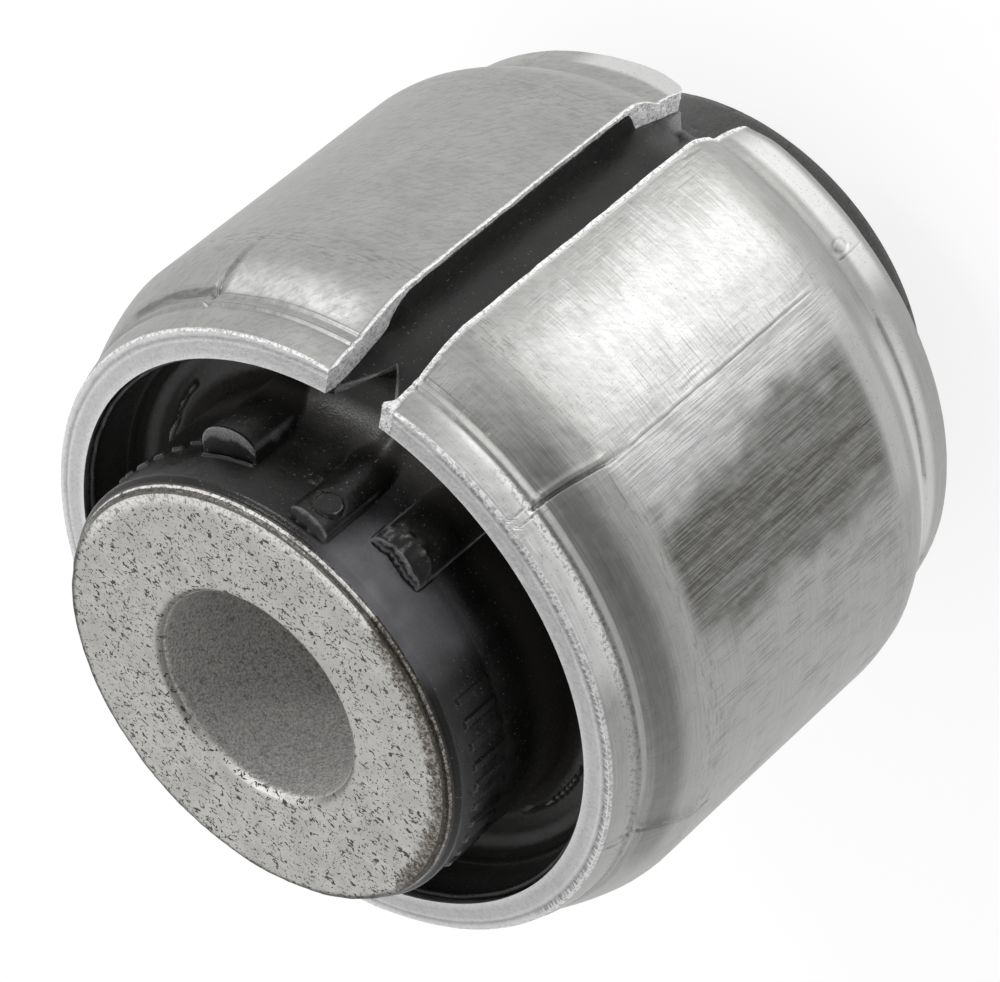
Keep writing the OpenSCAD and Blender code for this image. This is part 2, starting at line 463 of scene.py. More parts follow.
def head_bars(angle, depth):
    """Outside of the stops and the rib at the head end, 0 where there is none."""
    a = wrap(angle)
    left = bar_r(a, *LEFT_STOP)
    face = 3.52 + 0.012 * rough(a / 2, 1, 22)
    left = SLEEVE_R + (left - SLEEVE_R) * ease(depth, face - 0.1, face + 0.06)
    left = np.where(left > COAT_R, left + 0.07 * hill(depth, face + 0.18, 0.1), 0)
    torn = 0.2 * rough(a / 2.2, depth * 1.3, 23) + 0.07 * rough(a * 1.1, depth * 3.5, 24)
    tear = 3.6 + 0.17 * rough(a / 3.1, 3, 25) + 0.04 * rough(a / 0.9, 3, 28)
    right = bar_r(a, *RIGHT_STOP) + torn * hill(depth, 4.1, 0.7)
    rise = 0.62 * ease(depth, tear - 0.12, tear + 0.1) + 0.38 * ease(depth, 3.7, 4.5)
    right = np.where(right > COAT_R, SLEEVE_R + (right - SLEEVE_R) * rise, 0)
    rib = bar_r(a, *RIB)
    slant = 0.02 * (a - RIB[0])
    rib = SLEEVE_R + (rib - SLEEVE_R) * ease(depth, 1.15 + slant, 1.4 + slant)
    rib = np.where(rib > COAT_R, rib, 0)
    # Torn flash beside the rib
    flash_at = 1.7
    ragged = np.maximum(rough(depth * 1.6, 1, 26) + 0.3, 0)
    flash = 14.95 + 0.16 * ragged * hill(a, flash_at + 0.4 * rough(depth, 2, 27), 0.5)
    rib = np.maximum(rib, np.where((np.abs(a - flash_at) < 2) & (depth > 4.2), flash, 0))
    # Round ejector mark, a flat disc with a fine groove round it
    mark_at, mark_depth = -5.5, 2.92
    x = (a - mark_at) * np.radians(15.9)
    d = np.hypot(x, depth - mark_depth)
    disc = 15.86 / np.cos(np.radians(a - mark_at))
    rib = np.where(d < 0.86, np.maximum(rib, disc - 0.05 + 0.05 * hill(d, 0.75, 0.12)), rib)
    rib = rib - 0.1 * hill(d, 0.93, 0.07) * (rib > COAT_R)
    return np.maximum(np.maximum(left, right), rib)


def foot_bars(angle, depth):
    """Outside of the two stops at the foot end, with depth taken from the foot face."""
    both = np.maximum(*(bar_r(angle, *stop) for stop in FOOT_STOPS))
    return np.where(both > 0, SLEEVE_R + (both - SLEEVE_R) * ease(depth, 3.4, 3.6), 0)


def blend_max(a, b, soft):
    """The larger of two values, rounded where they meet."""
    h = np.clip(0.5 + 0.5 * (b - a) / soft, 0, 1)
    return a + (b - a) * h + soft * h * (1 - h)


def standing_out(surface, angle, depth):
    """How far a surface stands out from its surroundings, from -1 in a crease to 1 on an edge."""
    reach = 0.13
    turn = np.degrees(reach / COAT_R)
    moves = ((turn, 0), (-turn, 0), (0, reach), (0, -reach))
    around = [surface(angle + a, depth + z) for a, z in moves]
    return np.clip((surface(angle, depth) - np.mean(around, axis=0)) / 0.06, -1, 1)


def web_profile(t):
    """Radius and depth of the web behind the slit, from the coat (t = 0) to the shell (t = 1)."""
    turn = t * np.pi / 2
    span = WEB_SET + WEB_REACH
    return CORE_R - (CORE_R - COAT_R) * np.cos(turn), RIM_AT - WEB_REACH + span * np.sin(turn)


def hollow_profile(t):
    """Radius and depth along the kidney shaped hollow, from the coat to the shell's skin."""
    start = RIM_AT - WEB_REACH
    turn = np.linspace(0, np.pi / 2, 7)
    r_in = HOLLOW_IN + HOLLOW_ROUND * (1 - np.cos(turn))
    z_in = HOLLOW_DEPTH - HOLLOW_ROUND + HOLLOW_ROUND * np.sin(turn)
    r_out = HOLLOW_OUT - HOLLOW_ROUND * (1 - np.sin(turn))
    z_out = HOLLOW_DEPTH - HOLLOW_ROUND + HOLLOW_ROUND * np.cos(turn)
    shelf = RIM_AT + WEB_SET
    r = np.concatenate([[COAT_R, COAT_R + 0.1], r_in, r_out, [HOLLOW_OUT, CORE_R]])
    z = np.concatenate([[start, start + 0.9], z_in, z_out, [shelf, shelf]])
    along = stretches((0, 0.14, 2), (0.42, 0.54, 7), (0.76, 0.88, 7), (0.96, 1.0, 2))
    return np.interp(t, along, r), np.interp(t, along, z)


def end_profile(t, angle, bars, seed):
    """Radius and depth from the coat to the shell's skin at one end, at each angle."""
    a = np.abs(wrap(angle))
    web_r, web_z = web_profile(t)
    hollow_r, hollow_z = hollow_profile(t)
    bow = 3.2 * (2 * t - 1) ** 2
    k = ease(a, 18.2 + bow, 23.6 + bow)
    r, z = web_r + (hollow_r - web_r) * k, web_z + (hollow_z - web_z) * k
    # A bar beside the hollow pushes the whole profile outwards
    bar = bars(angle, np.full_like(angle, 8.0))
    push = np.maximum(bar - HOLLOW_IN, 0) * k
    r = np.where(r > HOLLOW_IN, r + push * (HOLLOW_OUT - r) / (HOLLOW_OUT - HOLLOW_IN), r)
    # How far each place stands out sets its painted highlight or painted shade
    highlight_and_shade = standing_out(lambda turn, down: np.maximum(bars(turn, down), r), angle, z)
    bar = bars(angle, z)
    r = np.where(bar > SLEEVE_R, blend_max(r, bar, 0.16), r)
    # The rib goes on as a low ridge up the web
    if seed == HEAD_SEED:
        z = z - 0.55 * hill(wrap(angle), RIB[0], 2.6) * inside(t, 0.16, 0.6, 0.14) * (1 - k)
    # Chains of short ragged ridges stand on the hollow's floor
    turn = wrap(angle)
    floor = k * inside(t, 0.56, 0.74, 0.02)
    chain = 0
    for ring, first, last, pitch in CHAINS:
        path = ring + 0.14 * rough(turn / 4, ring, seed)
        beat = np.sin(turn * np.pi / pitch + 2 * rough(turn / 7, ring, seed + 1))
        dash = ease(np.abs(beat), 0.3, 0.6)
        chain = np.maximum(chain, dash * hill(r, path, 0.13) * inside(turn, first, last, 2))
    # The chains of ridges also get painted highlight
    return r, z - 0.34 * chain * floor, np.maximum(highlight_and_shade, chain * floor)


def skin_edge(angle):
    """Depth at which the skin in the shell starts. In the slit it runs along the web's lip like a bow."""
    x = np.abs(CORE_R * np.sin(np.radians(wrap(angle))))
    facing = np.abs(wrap(angle)) < 90
    t = np.clip(x / SLIT_HALF, 0, 1)
    lip = 10.4 - 3.0 * np.sqrt(t * t + 0.008)
    start = RIM_AT + SKIN_START + 0.07 * rough(wrap(angle) / 2.5, 2, 30)
    return np.where(facing & (x < SLIT_HALF), lip, start)


def lip_r(x):
    """Radius of the lip across the slit, pointed in the middle."""
    side = np.clip(np.abs(x) / SLIT_HALF, 0, 1)
    return CORE_R + 1.9 * (1 - side) ** 1.5


def face_cover(depth):
    """Radius up to which rubber covers the sawn faces in the slit."""
    low, rise = 19.6, 3.45
    head = low + rise * ease(depth, 9.9, 13.6) ** 1.3
    foot = low + rise * (1 - ease(depth, 34.3, 36.6))
    return np.minimum(head, foot) + 0.06 * rough(depth * 1.7, 1, 31)


def build_rubber(material):
    edge = SLIT_RUBBER
    # Places across the slit, closest together at its sides
    side_x = np.array([2.03, 2.07, edge - 0.002, edge])
    slit_x = np.concatenate([-side_x[::-1], np.linspace(-1.9, 1.9, 27), side_x])
    # Angles round the rest, closest together where there is most to shape
    low, high = 8.6, 351.4
    around = steps(
        (low, 14.4, 22), (14.4, 16.6, 20), (16.6, 32, 48), (32, 34.4, 20), (34.4, 66, 78), (66, 95, 30),
        (95, 180, 36), (180, 242, 28), (242, 304.5, 172), (304.5, 325.6, 26), (325.6, 328, 22),
        (328, 343.4, 50), (343.4, 345.6, 20), (345.6, high, 22),
    )
    around = (around - low) / (high - low)

    def angle_at(radius):
        """Angle of every column at a radius, or at one radius per column."""
        radius = np.broadcast_to(np.asarray(radius, float), (len(slit_x) + len(around),))
        first = np.degrees(np.arcsin((edge + 0.003) / radius[len(slit_x) :]))
        across = np.degrees(np.arcsin(slit_x / radius[: len(slit_x)]))
        return np.concatenate([across, first + (360 - 2 * first) * around])

    c = len(slit_x) + len(around)
    in_slit = np.zeros(c, bool)
    in_slit[1 : len(slit_x) - 1] = True
    # Columns that can lie on the sawn faces
    covered = in_slit.copy()
    covered[: len(slit_x)] &= np.abs(slit_x) > 2.05

    def half(seed, coat_z, web_t):
        """Rows of one end, from the sleeve's surface to the outside, by depth from that end."""
        head = seed == HEAD_SEED
        bars = head_bars if head else foot_bars
        rows = []
        begin = COAT_START if head else FOOT_COAT_START

        def coat_surface(angle, z):
            start = SLEEVE_R + (COAT_R - SLEEVE_R) * ease(z, begin - 0.05, begin + 0.32)
            if head:
                relief = coat_relief(angle, z)
            else:
                relief = -0.06 * ease(rough(angle / 2, z * 2, seed), 0.5, 0.9)
            radius = start + relief * ease(z, begin + 0.1, begin + 0.6)
            bar = bars(angle, z)
            radius = np.where(bar > SLEEVE_R, blend_max(radius, bar, 0.1), radius)
            if head:
                # A fine ridge in front of the left stop
                ridge = 0.16 * hill(z, 3.3, 0.07) * (z < 3.5)
                radius = radius + ridge * inside(wrap(angle), 17.5, 32.0, 1)
            return np.maximum(radius, SLEEVE_R - 0.02)

        for z in coat_z:
            angle, depth = angle_at(COAT_R), np.full(c, z)
            # Edges of the coat's marks get painted highlight and creases painted shade
            highlight_and_shade = standing_out(coat_surface, angle, depth)
            rows.append((angle, coat_surface(angle, depth), depth, highlight_and_shade))
        for t in web_t:
            angle = angle_at(COAT_R + (CORE_R - COAT_R) * t)
            radius, z, highlight_and_shade = end_profile(t, angle, bars, seed)
            relief = coat_relief(angle, z) if head else 0
            rows.append((angle, radius + relief * (1 - ease(t, 0.25, 0.6)), z, highlight_and_shade))
        top = RIM_AT + WEB_SET
        angle = angle_at(CORE_R)
        lip = skin_edge(angle)
        # In the slit the rubber stands up to a pointed lip, like a gable
        gable = lip_r(np.concatenate([slit_x, np.full(len(around), SLIT_HALF)]))
        for share in (0.2, 0.45, 0.65, 0.8, 0.9, 0.96):
            radius = CORE_R + (gable - CORE_R) * share
            radius = radius + 0.015 * rough(angle / 3, share * 4, seed + 7)
            # The gable gets painted highlight towards its lip
            highlight_and_shade = in_slit * ease(share, 0.6, 0.85)
            rows.append((angle_at(radius), radius, top + (lip + 0.1 - top) * share, highlight_and_shade))
        wall = np.maximum(wall_in_r(lip), gable + 0.04)
        # The lip's top beside the gable gets full painted highlight
        for share, rise in ((0.08, 0.05), (0.3, -0.06), (0.65, -0.06), (0.92, 0.04)):
            radius = gable + (wall - gable) * share
            rows.append((angle_at(radius), radius, lip + rise, in_slit * 1.0))
        return rows

    coat = steps(
        (0.62, 1.15, 8), (1.15, 1.5, 6), (1.5, 3.1, 19), (3.1, 3.4, 6), (3.4, 3.8, 17), (3.8, 5.0, 14)
    )
    web = stretches((0.03, 0.4, 15), (0.42, 0.54, 6), (0.56, 0.75, 15), (0.77, 1.0, 8))
    rows = half(HEAD_SEED, coat, web)
    fine_rows = len(rows)
    foot_coat = steps((0.06, 0.35, 4), (0.35, 3.3, 7), (3.3, 3.7, 5), (3.7, 5, 4))
    foot_web = stretches((0.06, 0.4, 6), (0.42, 0.54, 4), (0.58, 0.75, 5), (0.77, 1.0, 5))
    foot_rows = half(FOOT_SEED, foot_coat, foot_web)

    # Outside, against the shell and open in the slit
    head_lip = skin_edge(angle_at(CORE_R)) + 0.12
    body_z = steps((7.4, 13.8, 14), (14.5, 33.6, 20), (34.2, 37.4, 10))
    foot_lip = LENGTH - head_lip
    for z in body_z:
        # Rows that would start above the lip lie close together just below it
        depth = np.clip(z, head_lip + 0.02 * (z - body_z[0]), foot_lip)
        radius = wall_in_r(depth)
        uneven = 0.03 * rough(depth * 0.7, np.linspace(0, 9, c), 32)
        radius = np.where(in_slit, radius + uneven, radius - 0.01)
        radius = np.where(covered, np.maximum(radius, face_cover(depth)), radius)
        # Rows just below the lip get painted highlight too
        highlight_and_shade = in_slit * (1 - ease(depth, head_lip, head_lip + 0.15))
        rows.append((angle_at(radius), radius, depth, highlight_and_shade))
    for angle, radius, depth, highlight_and_shade in foot_rows[::-1]:
        rows.append((angle, radius, LENGTH - depth, highlight_and_shade))
    for z in (40.0, 24.0, 8.0):
        rows.append((angle_at(SLEEVE_R), SLEEVE_R - 0.02, z, np.zeros(c)))
    grid = np.array([place(*row[:3]) for row in rows])
    painted_light = np.array([row[3] for row in rows])
    for _ in range(2):
        painted_light = (2 * painted_light + sum(np.roll(painted_light, move, axis) for move in (-1, 1) for axis in (0, 1))) / 6

    # Behind the head end's rows, only every third column outside the slit goes on
    outside = np.arange(len(slit_x), c)
    kept = np.unique(np.concatenate([np.arange(len(slit_x)), outside[::3], [c - 1]]))
    few = len(kept)
    coarse_rows = len(rows) - fine_rows
    below = fine_rows * c
    faces = grid_faces(fine_rows, c, False, True).tolist()
    faces += (grid_faces(coarse_rows, few, False, True) + below).tolist()
    for j in range(few):
        first, last = int(kept[j]), int(kept[(j + 1) % few])
        fine = list(range(first, last + 1)) if last > first else [first, last]
        one, other = below + j, below + (j + 1) % few
        skip = (fine_rows - 1) * c
        faces.append([skip + first, one, other] + [skip + v for v in fine[:0:-1]])
        back = (coarse_rows - 1) * few
        faces.append([back + one] + fine + [back + other])
    points = np.concatenate([grid[:fine_rows].reshape(-1, 3), grid[fine_rows:, kept].reshape(-1, 3)])
    painted_light = np.concatenate([painted_light[:fine_rows].ravel(), painted_light[fine_rows:, kept].ravel()])
    piece = make_piece("rubber", points, faces, material, 50)
    # The attribute carries painted highlight on edges and painted shade in creases
    piece.data.attributes.new("painted_light", "FLOAT", "POINT").data.foreach_set("value", painted_light)
    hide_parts("rubber_body")


# Shape of the steel sleeve


def build_sleeve(material):
    columns = 600
    angle = np.arange(columns) * 360 / columns
    chamfer, round_r = 0.4, 0.5

    def end_rows(sign, seed):
        """Rows of one end face, from inside the bore to the side of the sleeve."""
        found = [(BORE_R, z) for z in (3.0, 1.2, 0.75)]
        for share in (0, 0.25, 0.5, 0.75, 1):
            wear = 0.03 * rough(angle / 7, share, seed) + 0.02 * rough(angle / 2.5, share * 2, seed + 1)
            found.append((BORE_R + chamfer * share + wear * 0.5, chamfer * (1 - share) + 0.02))
        for r in np.linspace(BORE_R + 0.5, SLEEVE_R - 1.3, 18):
            low = 0.012 * rough(angle / 3, r * 1.1, seed + 2) + 0.008 * rough(angle, r * 3, seed + 3)
            found.append((r, np.abs(low)))
        for r in np.linspace(SLEEVE_R - 1.2, SLEEVE_R - round_r - 0.05, 6):
            worn = ease(r, SLEEVE_R - 1.2, SLEEVE_R - round_r)
            low = worn * (0.05 + 0.025 * rough(angle / 2, r * 2, seed + 4))
            found.append((r, np.abs(low)))
        for turn in np.linspace(0, np.pi / 2, 9):
            chip = 0.015 * rough(angle / 1.3, turn * 2, seed + 6)
            chip = chip + 0.03 * rough(angle / 4.1, turn, seed + 7)
            chip = np.maximum(chip, -0.02) * np.sin(2 * turn)
            r = SLEEVE_R - round_r + (round_r - chip) * np.sin(turn)
            z = round_r - (round_r - chip) * np.cos(turn)
            found.append((r, z + 0.07 * (1 - np.sin(turn)) ** 2))
        found += [(SLEEVE_R, 0.62), (SLEEVE_R, 1.4)]
        return [(angle, r, z if sign > 0 else LENGTH - z) for r, z in found]

    rows = end_rows(1, 70)
    rows += [(angle, SLEEVE_R, z) for z in (16.0, 32.0)]
    rows += end_rows(-1, 80)[::-1]
    rows += [(angle, BORE_R, z) for z in range(42, 0, -6)]
    grid = np.array([place(*row) for row in rows])
    faces = grid_faces(len(rows), columns, True, True).tolist()
    piece = make_piece("sleeve", grid.reshape(-1, 3), faces, material, 60)
    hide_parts("inner_sleeve")


# Materials


class Paint:
    """One node material, with short calls for the nodes that all the materials use."""

    def __init__(self, name):
        self.material = bpy.data.materials.new(name)
        self.material.use_nodes = True
        self.tree = self.material.node_tree
        self.shader = self.tree.nodes["Principled BSDF"]
        # The place on the piece in millimetres, and its depth, angle and radius
        self.spot = self.new("ShaderNodeTexCoord").outputs["Object"]
        self.spot = self.stretch(1 / MM, 1 / MM, 1 / MM)
        self.x, self.y, z = self.new("ShaderNodeSeparateXYZ", self.spot).outputs
        self.depth = self.less(LENGTH, z)
        self.angle = self.math("DEGREES", self.math("ARCTAN2", self.x, self.times(self.y, -1)))
        square = self.plus(self.math("POWER", self.x, 2), self.math("POWER", self.y, 2))
        self.radius = self.math("SQRT", square)

    def put(self, socket, value):
        """Links a node's output to an input, or sets the input to a value or a colour."""
        if isinstance(value, bpy.types.NodeSocket):
            self.tree.links.new(value, socket)
        elif socket.type == "RGBA":
            socket.default_value = (*value, 1)
        else:
            socket.default_value = value

    def new(self, kind, *values, **settings):
        """A new node with its settings, and with its first inputs filled."""
        node = self.tree.nodes.new(kind)
        for key, value in settings.items():
            setattr(node, key, value)
        for socket, value in zip(node.inputs, values):
            self.put(socket, value)
        return node

    def math(self, operation, *values):
        return self.new("ShaderNodeMath", *values, operation=operation).outputs[0]

    def chain(self, operation, value, *others):
        """Takes in the other values one after another."""
        for other in others:
            value = self.math(operation, value, other)
        return value

    def times(self, *values):
        return self.chain("MULTIPLY", *values)

    def plus(self, *values):
        return self.chain("ADD", *values)

    def most(self, *values):
        return self.chain("MAXIMUM", *values)

    def less(self, value, taken):
        return self.math("SUBTRACT", value, taken)

    def stretch(self, x, y, z):
        """The place on the piece with each axis scaled."""
        return self.new("ShaderNodeVectorMath", self.spot, (x, y, z), operation="MULTIPLY").outputs[0]

    def any_noise(self, dimensions, *values):
        node = self.new("ShaderNodeTexNoise", noise_dimensions=dimensions)
        for key, value in zip(("Vector", "Scale", "Detail", "Roughness", "Distortion"), values):
            self.put(node.inputs[key], value)
        return node.outputs["Fac"]

    def noise(self, scale, detail=2, roughness=0.5, distortion=0):
        """Noise with one scale, or with one for each axis."""
        if isinstance(scale, tuple):
            return self.any_noise("3D", self.stretch(*scale), 1, detail, roughness, distortion)
        return self.any_noise("3D", self.spot, scale, detail, roughness, distortion)

    def flat_noise(self, u, v, detail=2, roughness=0.5):
        """Noise over two values, such as the way round the piece and the depth."""
        where = self.new("ShaderNodeCombineXYZ", u, v, 0).outputs[0]
        return self.any_noise("2D", where, 1, detail, roughness, 0)

    def ramp(self, value, *stops):
        """A colour ramp. Each stop is a place and a grey or a colour."""
        node = self.new("ShaderNodeValToRGB", value)
        elements = node.color_ramp.elements
        for _ in range(len(stops) - 2):
            elements.new(0.5)
        for element, (at, shade) in zip(elements, stops):
            element.position = at
            element.color = (shade, shade, shade, 1) if isinstance(shade, float) else (*shade, 1)
        return node.outputs["Color"]

    def span(self, value, low, high, to_low=0, to_high=1):
        """Maps a value smoothly from one range to another."""
        values = (value, low, high, to_low, to_high)
        return self.new("ShaderNodeMapRange", *values, interpolation_type="SMOOTHSTEP").outputs["Result"]

    def band(self, value, low, high, soft):
        """1 between low and high, falling to 0 over soft on each side."""
        return self.times(self.span(value, low - soft, low), self.span(value, high, high + soft, 1, 0))

    def patch(self, depths, angles):
        """1 between two depths and two angles, each given with how soft its ends are."""
        return self.times(self.band(self.depth, *depths), self.band(self.angle, *angles))

    def lay(self, colour, *shares):
        """Lays a colour over the shade so far."""
        self.shade = self.over(self.shade, colour, *shares)

    def over(self, shade, colour, *shares):
        """Lays a colour over a shade, as far as the product of the shares says."""
        node = self.new("ShaderNodeMix", data_type="RGBA")
        self.put(node.inputs[0], self.times(*shares))
        # Inputs 6 and 7 take the two colours
        self.put(node.inputs[6], shade)
        self.put(node.inputs[7], colour)
        return node.outputs[2]

    def bump(self, height, distance, strength):
        """Relief of a height, with its distance in millimetres."""
        node = self.new("ShaderNodeBump")
        for key, value in (("Height", height), ("Distance", distance * MM), ("Strength", strength)):
            self.put(node.inputs[key], value)
        return node.outputs["Normal"]

    def finish(self, **sockets):
        """Fills the shader's inputs, each named in lower case with underscores."""
        for key, value in {"base_color": self.shade, **sockets}.items():
            self.put(self.shader.inputs[key.replace("_", " ").title().replace("Ior", "IOR")], value)
        return self.material


def paint_steel():
    p = Paint("steel")
    cloud = p.noise(0.55, 2, 0.6, 0.6)
    grain = p.noise(6, 2, 0.6)
    ticks = p.noise((2.4, 3.4, 2.8), 2, 0.62, 0.9)
    small = p.noise((5.2, 4, 4.6), 1, 0.6, 0.7)
    # How worn each place is: the outer edge most, the mouth of the bore a little. The mouth also carries
    # painted light and shade
    brim = p.span(p.plus(p.radius, p.times(grain, 0.5)), 13.5, 14.1)
    outer = p.times(brim, p.band(p.angle, -112, 62, 22))
    mouth = p.times(p.span(p.radius, 7.3, 7.9, 1, 0), p.span(p.radius, 7.2, 7.3))
    bore = p.span(p.radius, 7.26, 7.36, 1, 0)
    p.shade = p.ramp(cloud, (0.3, (0.47, 0.465, 0.445)), (0.7, (0.6, 0.595, 0.575)))
    p.lay((0.72, 0.71, 0.69), p.span(grain, 0.35, 0.7), 0.22)
    side = p.band(p.angle, -114, -40, 16)
    sparkle = p.times(p.span(small, 0.35, 0.6, 0.2, 1), p.span(side, 0, 1, 1, 0.2))
    p.lay((0.88, 0.87, 0.84), outer, sparkle)
    # The mouth of the bore is painted lighter on the side opposite the slit, as painted light, and darker
    # elsewhere, as painted shade
    mouth_lit_side = p.times(mouth, p.span(p.math("ABSOLUTE", p.less(p.angle, 4)), 125, 155))
    p.lay((0.75, 0.74, 0.71), mouth_lit_side, 0.45)
    p.lay((0.22, 0.215, 0.2), p.less(mouth, mouth_lit_side), 0.8)
    # Brown stain along the outer edge, most of it on one side
    patchy = p.noise(2.4, 2, 0.65, 0.8)
    reach = p.plus(p.radius, p.times(p.less(patchy, 0.5), 2.2))
    stain = p.span(reach, p.span(side, 0, 1, 14.55, 12.95), p.span(side, 0, 1, 14.85, 13.6))
    p.lay((0.085, 0.068, 0.05), stain, p.span(small, 0.4, 0.62, 0.96, 0.55))
    # On the far side the edge is only chipped dark here and there
    chipped = p.times(p.less(brim, outer), p.span(patchy, 0.5, 0.6))
    p.lay((0.12, 0.11, 0.1), chipped, p.span(p.radius, 13.8, 14.2, 0.1, 0.8))
    # A thin dark outline round the rounding of the outer edge is painted shade
    thin = p.times(p.less(brim, outer), p.span(p.radius, 13.95, 14.2))
    thin = p.most(thin, p.times(outer, p.band(p.radius, 14.16, 14.3, 0.07)))
    p.lay((0.06, 0.055, 0.047), thin, 0.85)
    # Dark pits, in two sizes, which the bore has fewer of
    many = p.span(cloud, 0.25, 0.75, 0.372, 0.425)
    pits = p.span(p.less(many, ticks), 0, 0.022)
    pits = p.most(pits, p.span(small, 0.345, 0.32))
    pits = p.times(pits, p.span(outer, 0, 1, 1, 0.5))
    p.lay((0.035, 0.033, 0.028), pits, 0.93)
    # The bore is duller, with bright specks towards one side that are painted glints
    dull = p.ramp(grain, (0.36, (0.48, 0.472, 0.462)), (0.66, (0.88, 0.868, 0.85)))
    specks = p.times(p.span(small, 0.58, 0.63), p.span(p.x, 3, -3))
    dull = p.over(dull, (1, 0.99, 0.96), specks, 0.8)
    dull = p.over(dull, (0.03, 0.03, 0.028), pits, 0.5)
    p.lay(dull, bore)
    # A dark line where the side of the sleeve goes into the rubber
    uneven = p.plus(p.depth, p.times(grain, 0.1))
    line = p.most(p.span(p.depth, 0.44, 0.5), p.band(uneven, 0.2, 0.3, 0.04))
    p.lay((0.02, 0.018, 0.015), line, p.span(p.radius, 14.1, 14.3), 0.85)
    normal = p.bump(p.less(p.times(grain, 0.5), pits), 0.035, 0.7)
    gloss = p.plus(p.span(pits, 0, 1, 0.42, 0.75), p.times(mouth, 0.15))
    metal = p.times(p.span(pits, 0, 1, 0.9, 0.2), p.span(bore, 0, 1, 1, 0.7))
    return p.finish(metallic=metal, roughness=gloss, normal=normal)


def paint_rubber():
    p = Paint("rubber")
    grain = p.noise(8, 2, 0.7)
    cloud = p.noise(0.45)
    dust = p.noise(7, 0)
    p.shade = p.ramp(cloud, (0.3, (0.0075, 0.0073, 0.0068)), (0.7, (0.0125, 0.0122, 0.0115)))
    # A bluish bloom and painted sheen lie on the coat of the sleeve, and the slit's floor is greyer
    coat = p.times(p.span(p.radius, 15.4, 15), p.span(p.depth, 6.4, 3.4))
    uneven = p.span(p.noise(0.3), 0.35, 0.65, 0.6, 1)
    p.lay((0.2, 0.202, 0.218), coat, uneven, p.band(p.angle, -40, -20, 15), 0.85)
    far = p.times(p.span(p.depth, 41.5, 42.5), p.span(grain, 0.3, 0.6, 0.5, 1))
    p.lay((0.11, 0.11, 0.108), far, 0.8)
    # The rubber in the hollow is painted lighter, as painted light where little light reaches
    painted_hollow_light = p.times(p.band(p.radius, 15, 19.2, 0.2), p.span(p.depth, 7, 9))
    p.lay((0.045, 0.042, 0.039), painted_hollow_light, 0.8)
    uneven = p.span(p.noise(0.6, 2, 0.6), 0.3, 0.65, 0.35, 1)
    p.lay((0.028, 0.0265, 0.025), p.span(p.radius, 20.2, 20.8), uneven, 0.5)
    p.lay((0.16, 0.155, 0.145), p.span(dust, 0.77, 0.81), 0.6)
    # Raised edges are painted paler, partly as rubbed wear and partly as painted highlight, most of all
    # in the hollow, and creases are painted darker as painted shade
    painted_light = p.new("ShaderNodeAttribute", attribute_name="painted_light").outputs["Fac"]
    p.lay((0.005, 0.005, 0.005), p.span(painted_light, -0.35, -0.9))
    edge = p.times(p.span(painted_light, 0.3, 0.85), p.span(grain, 0.3, 0.62, 0.45, 1))
    edge_highlight_colour = p.over((0.2, 0.2, 0.203), (0.75, 0.74, 0.72), painted_hollow_light)
    p.lay(edge_highlight_colour, edge, 0.8)
    normal = p.bump(p.plus(grain, p.noise(2.2)), 0.03, 0.55)
    gloss = p.span(cloud, 0.3, 0.7, 0.24, 0.33)
    return p.finish(roughness=gloss, specular_ior_level=0.32, normal=normal)


